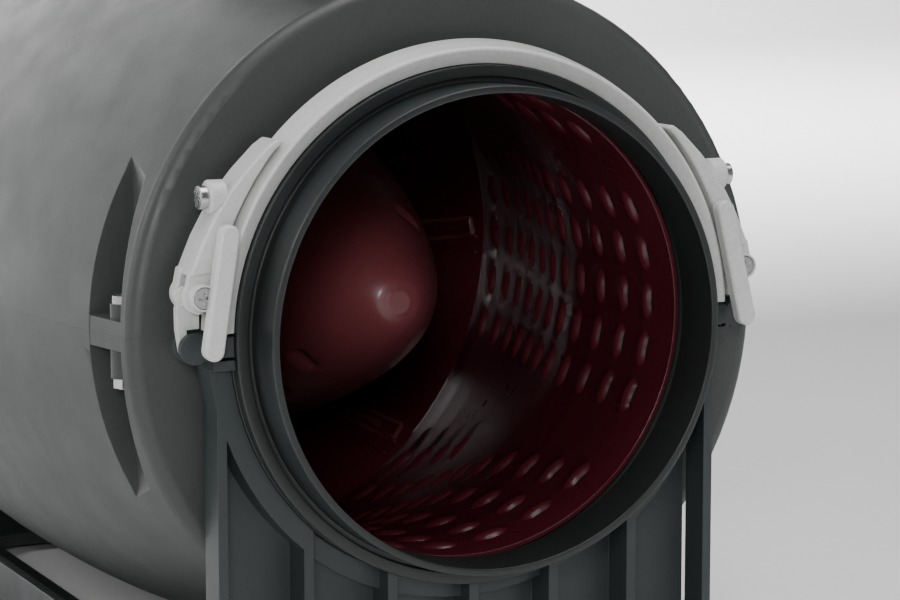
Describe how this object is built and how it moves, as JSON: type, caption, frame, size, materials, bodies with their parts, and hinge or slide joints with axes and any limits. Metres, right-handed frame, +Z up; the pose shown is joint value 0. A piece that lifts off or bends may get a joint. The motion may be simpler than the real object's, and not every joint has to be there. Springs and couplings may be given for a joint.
{
  "type": "in-line duct fan",
  "caption": "In-line mixed-flow duct fan in a barrel-shaped sound-absorbing housing, with quick-release collar straps, a terminal tower and a ribbed mounting stand.",
  "frame": {"origin": "under the middle of the stand, on the plane of the rubber pads' feet", "axes": "+Y along the duct from the outlet mouth to the inlet mouth, +Z up, +X to the right when facing the outlet mouth"},
  "size_m": [0.334, 0.64, 0.3994],
  "materials": {
    "housing": "fine-grained moulded plastic, satin",
    "stand": "fine-grained moulded plastic, satin",
    "collar": "moulded plastic, satin",
    "strap": "light grey moulded plastic, semi-gloss",
    "inner_skin": "dark red moulded plastic, semi-gloss",
    "impeller": "glass-filled moulded plastic",
    "seal": "soft rubber",
    "lining": "open-cell sound-absorbing foam",
    "screw": "zinc-plated",
    "bearing": "ground steel",
    "motor": "cast, bead-blasted",
    "core": "laminated iron",
    "winding": "enamelled copper wire",
    "tray": "moulded plastic",
    "terminal": "moulded plastic"
  },
  "bodies": {
    "fan": {"front_skin": "inner_skin", "rear_skin": "inner_skin", "front_collar": "collar", "front_gasket": "seal", "rear_collar": "collar", "rear_gasket": "seal", "upper_shell": "housing", "lower_shell": "housing", "shell_screws": "screw", "shell_nuts": "screw", "front_lining": "lining", "rear_lining": "lining", "stage_casing": "inner_skin", "hub_dome": "inner_skin", "motor_endcap": "motor", "motor_screws": "screw", "motor_can": "motor", "stator_core": "core", "motor_windings": "winding", "front_bearing": "bearing", "rear_bearing": "bearing", "front_strap": "strap", "rear_strap": "strap", "pivot_screws": "screw", "boss_screws": "screw", "front_left_latch_bracket": "strap", "front_right_latch_bracket": "strap", "rear_left_latch_bracket": "strap", "rear_right_latch_bracket": "strap", "base_bracket": "stand", "rubber_pads": "seal", "terminal_tray": "tray", "terminal_block": "terminal", "run_capacitor": "terminal", "terminal_lid": "housing", "lid_screws": "screw", "cable_gland": "tray", "gland_nut": "tray"},
    "rotor": {"rotor_shaft": "bearing", "rotor_core": "core", "impeller": "impeller", "impeller_nose_nut": "impeller"},
    "front_left_lever_arm": {"front_left_lever": "strap"},
    "front_left_link_hook": {"front_left_link": "strap"},
    "front_right_lever_arm": {"front_right_lever": "strap"},
    "front_right_link_hook": {"front_right_link": "strap"},
    "rear_left_lever_arm": {"rear_left_lever": "strap"},
    "rear_left_link_hook": {"rear_left_link": "strap"},
    "rear_right_lever_arm": {"rear_right_lever": "strap"},
    "rear_right_link_hook": {"rear_right_link": "strap"}
  },
  "joints": [
    {"name": "impeller_spin", "type": "hinge", "parent": "fan", "child": "rotor", "pos_m": [0, 0.145, 0.19], "axis": [0, 1, 0], "continuous": true},
    {"name": "front_left_lever_swing", "type": "hinge", "parent": "fan", "child": "front_left_lever_arm", "pos_m": [-0.1208, -0.302, 0.2089], "axis": [0, -1, 0], "range_deg": [0, 35]},
    {"name": "front_left_link_turn", "type": "hinge", "parent": "front_left_lever_arm", "child": "front_left_link_hook", "pos_m": [-0.1261, -0.291, 0.2089], "axis": [0, -1, 0], "range_deg": [-46, 0]},
    {"name": "front_right_lever_swing", "type": "hinge", "parent": "fan", "child": "front_right_lever_arm", "pos_m": [0.1208, -0.302, 0.2089], "axis": [0, 1, 0], "range_deg": [0, 35]},
    {"name": "front_right_link_turn", "type": "hinge", "parent": "front_right_lever_arm", "child": "front_right_link_hook", "pos_m": [0.1261, -0.291, 0.2089], "axis": [0, 1, 0], "range_deg": [-46, 0]},
    {"name": "rear_left_lever_swing", "type": "hinge", "parent": "fan", "child": "rear_left_lever_arm", "pos_m": [-0.1208, 0.302, 0.2089], "axis": [0, -1, 0], "range_deg": [0, 35]},
    {"name": "rear_left_link_turn", "type": "hinge", "parent": "rear_left_lever_arm", "child": "rear_left_link_hook", "pos_m": [-0.1261, 0.291, 0.2089], "axis": [0, -1, 0], "range_deg": [-46, 0]},
    {"name": "rear_right_lever_swing", "type": "hinge", "parent": "fan", "child": "rear_right_lever_arm", "pos_m": [0.1208, 0.302, 0.2089], "axis": [0, 1, 0], "range_deg": [0, 35]},
    {"name": "rear_right_link_turn", "type": "hinge", "parent": "rear_right_lever_arm", "child": "rear_right_link_hook", "pos_m": [0.1261, 0.291, 0.2089], "axis": [0, 1, 0], "range_deg": [-46, 0]}
  ],
  "couplings": [
    {"joint": "front_left_link_turn", "follows": "front_left_lever_swing", "ratio": -1.3},
    {"joint": "front_right_link_turn", "follows": "front_right_lever_swing", "ratio": -1.3},
    {"joint": "rear_left_link_turn", "follows": "rear_left_lever_swing", "ratio": -1.3},
    {"joint": "rear_right_link_turn", "follows": "rear_right_lever_swing", "ratio": -1.3}
  ]
}
